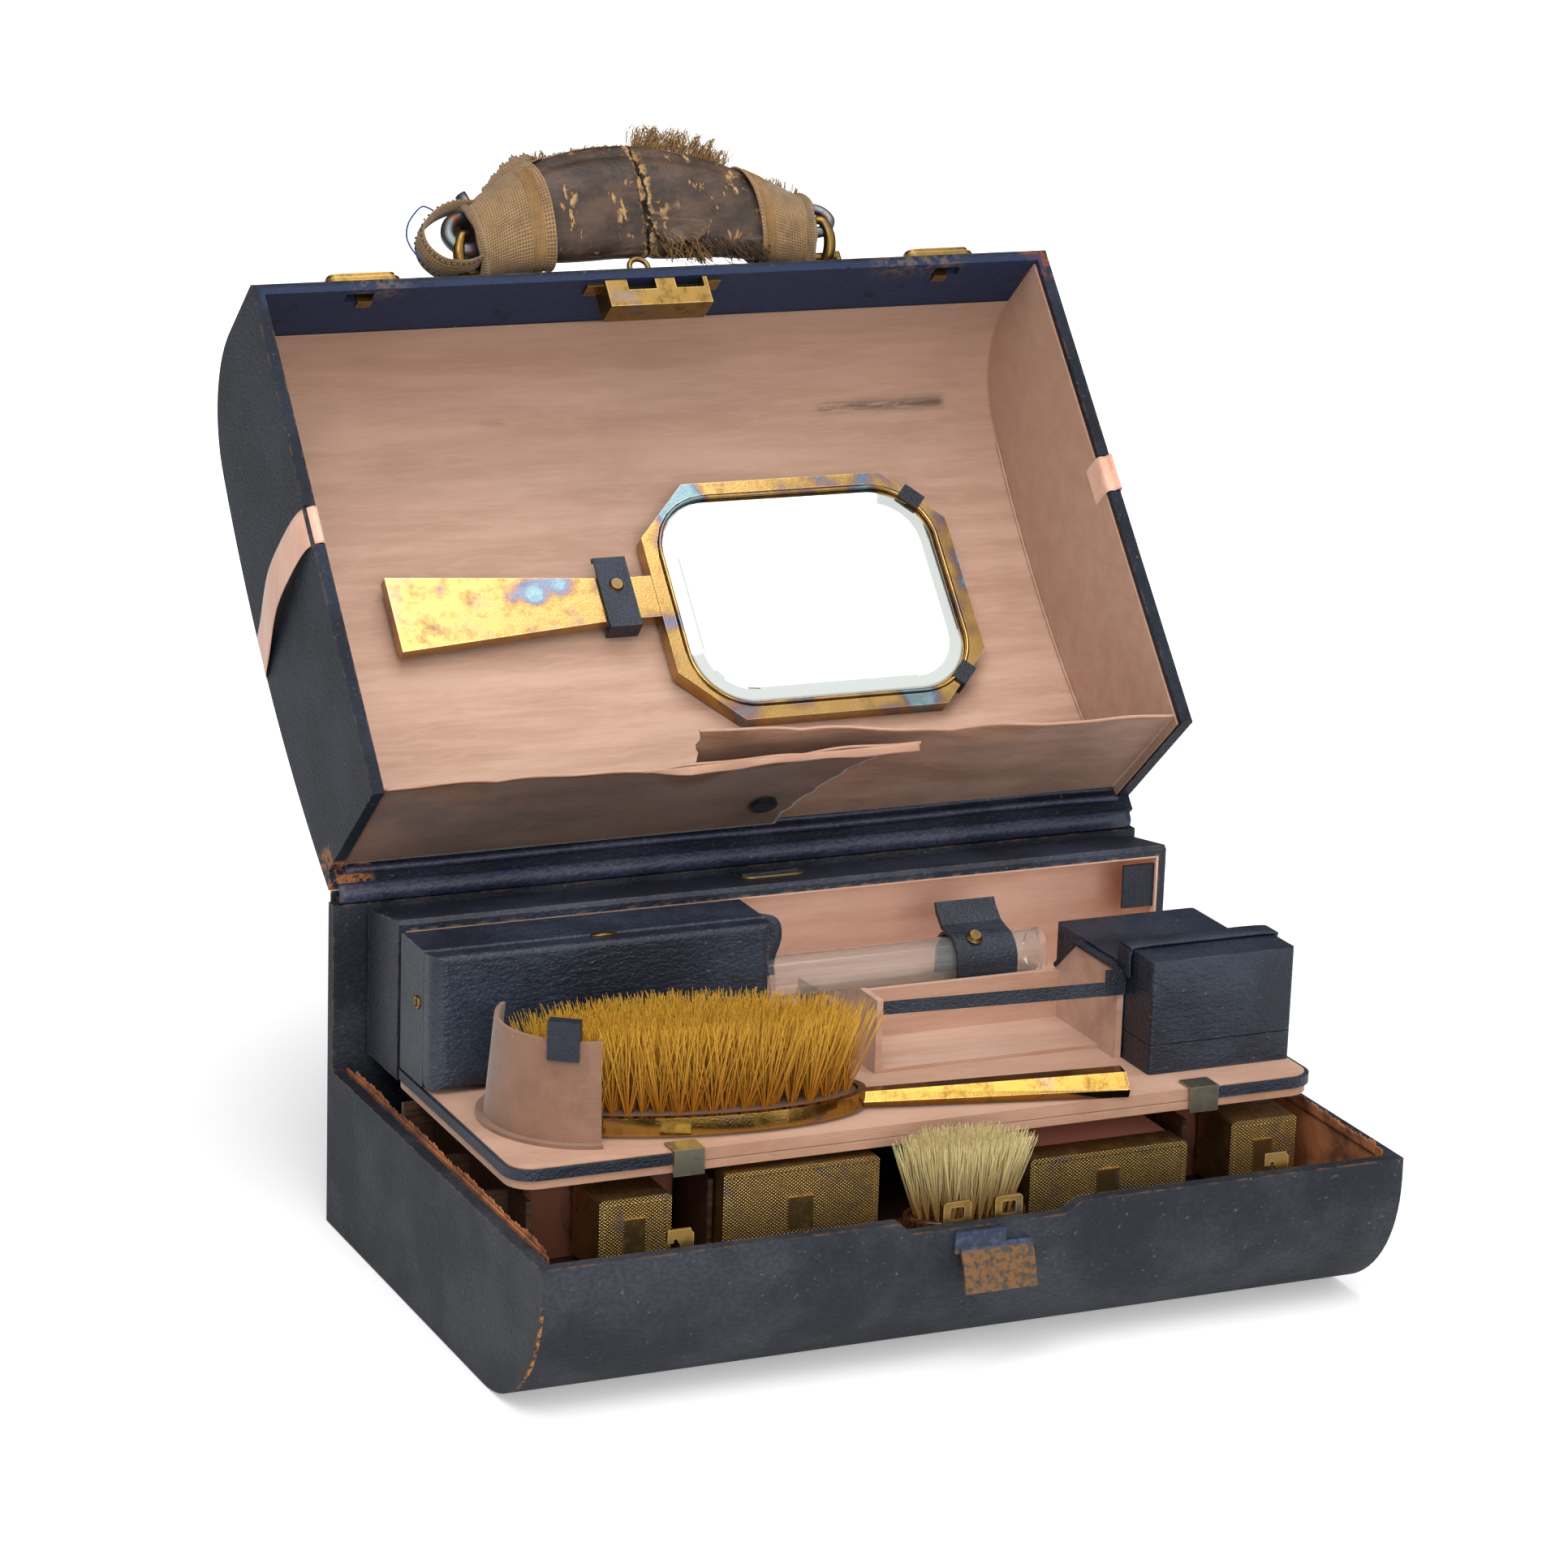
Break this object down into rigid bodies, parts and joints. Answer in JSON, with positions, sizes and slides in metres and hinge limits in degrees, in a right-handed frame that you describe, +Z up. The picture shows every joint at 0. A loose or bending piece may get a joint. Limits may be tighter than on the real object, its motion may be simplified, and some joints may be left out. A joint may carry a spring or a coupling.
{
  "type": "fitted dressing box",
  "caption": "Leather dressing case standing open, with a lift-out silk-lined tray, gilt brush, hand mirror in the lid, lidded bottles and jars, small boxes and a top handle.",
  "frame": {"origin": "middle of the case's flat underside", "axes": "+X to the viewer's right along the hinge, -Y out of the front where the lock staples are, +Z up"},
  "size_m": [0.3514, 0.3954, 0.3981],
  "materials": {
    "navy_leather": "worn navy grained leather, rubbed pale along the edges",
    "tan_leather": "dry brown leather",
    "canvas": "worn tan canvas binding",
    "pink_silk": "faded salmon-pink silk",
    "pink_board": "pink silk on board",
    "ribbon_satin": "frayed pink satin ribbon",
    "brown_card": "loose brown paper lining",
    "dark_wood": "dark stained wood",
    "brush_wood": "varnished dark wood",
    "brass": "tarnished brass",
    "gilt": "worn gilt with engine-turned ground",
    "bottle_glass": "tinted old glass",
    "clear_glass": "clear glass",
    "mirror": "slightly foxed mirror glass",
    "amber_bristle": "amber bristle",
    "cream_bristle": "cream bristle",
    "jet": "black glossy button"
  },
  "bodies": {
    "case": {"base_shell": "navy_leather", "base_lining": "brown_card", "partitions": "dark_wood", "side_hooks": "brass", "lock_staples": "brass", "front_tab": "navy_leather", "hinge_leather": "navy_leather", "left_bottle": "bottle_glass", "right_bottle": "bottle_glass", "jar_body": "clear_glass", "powder_box": "gilt", "small_brush_back": "brush_wood", "small_brush_bristles": "cream_bristle"},
    "lid": {"lid_shell": "navy_leather", "lid_lining": "pink_silk", "hinge_margin": "navy_leather", "pocket": "pink_silk", "pocket_button": "jet", "mirror_frame": "gilt", "mirror_glass": "mirror", "mirror_strap": "navy_leather", "mirror_snap": "brass", "mirror_tabs": "navy_leather", "ribbon": "ribbon_satin", "lock_box": "brass", "handle_staples": "brass", "centre_ring": "brass"},
    "handle": {"handle_grip": "tan_leather", "handle_wraps": "canvas", "handle_ends": "tan_leather"},
    "left_catch_body": {"left_catch": "brass"},
    "right_catch_body": {"right_catch": "brass"},
    "tray": {"upright_shell": "navy_leather", "upright_lining": "pink_silk", "upright_tabs": "navy_leather", "pull_plate": "brass", "pull_loop": "navy_leather", "upper_board": "pink_board", "board_piping": "navy_leather", "lower_board": "pink_board", "board_clips": "brass", "compartment": "pink_board", "wall_binding": "navy_leather", "compartment_strap": "navy_leather", "rear_box": "navy_leather", "glass_tube": "clear_glass", "tube_strap": "navy_leather", "tube_snap": "brass", "brush_guard": "pink_board", "guard_tab": "navy_leather", "long_box_base": "navy_leather", "jewel_base": "navy_leather"},
    "long_lid": {"long_box_lid": "navy_leather"},
    "jewel_top": {"jewel_lid": "navy_leather"},
    "hairbrush": {"hairbrush_body": "gilt", "hairbrush_bristles": "amber_bristle"},
    "left_cap_body": {"left_cap": "gilt"},
    "right_cap_body": {"right_cap": "gilt"},
    "jar_lid_body": {"jar_lid": "gilt"},
    "powder_lid_body": {"powder_lid": "gilt"}
  },
  "joints": [
    {"name": "lid_hinge", "type": "hinge", "parent": "case", "child": "lid", "pos_m": [0, 0.115, 0.136], "axis": [-1, 0, 0], "range_deg": [-131.5, 0], "deforming": ["pocket", "pocket_button"]},
    {"name": "handle_swing", "type": "hinge", "parent": "lid", "child": "handle", "pos_m": [0, 0.23134, 0.35352], "axis": [1, 0, 0], "range_deg": [-70, 70]},
    {"name": "left_catch_slide", "type": "slide", "parent": "lid", "child": "left_catch_body", "axis": [-1, 0, 0], "range_m": [0, 0.005]},
    {"name": "right_catch_slide", "type": "slide", "parent": "lid", "child": "right_catch_body", "axis": [1, 0, 0], "range_m": [0, 0.005]},
    {"name": "tray_lift", "type": "slide", "parent": "case", "child": "tray", "axis": [0, -0.342, 0.9397], "range_m": [0, 0.026]},
    {"name": "long_lid_hinge", "type": "hinge", "parent": "tray", "child": "long_lid", "pos_m": [-0.095, 0.036, 0.0803], "axis": [1, 0, 0], "range_deg": [0, 7]},
    {"name": "jewel_lid_lift", "type": "slide", "parent": "tray", "child": "jewel_top", "axis": [0, 0, 1], "range_m": [0, 0.01]},
    {"name": "hairbrush_lift", "type": "slide", "parent": "tray", "child": "hairbrush", "axis": [0, 0, 1], "range_m": [0, 0.03]},
    {"name": "left_cap_slide", "type": "slide", "parent": "case", "child": "left_cap_body", "axis": [0, -1, 0], "range_m": [0, 0.008]},
    {"name": "right_cap_slide", "type": "slide", "parent": "case", "child": "right_cap_body", "axis": [0, -1, 0], "range_m": [0, 0.008]},
    {"name": "jar_lid_slide", "type": "slide", "parent": "case", "child": "jar_lid_body", "axis": [0, -1, 0], "range_m": [0, 0.008]},
    {"name": "powder_lid_slide", "type": "slide", "parent": "case", "child": "powder_lid_body", "axis": [0, -1, 0], "range_m": [0, 0.008]}
  ]
}
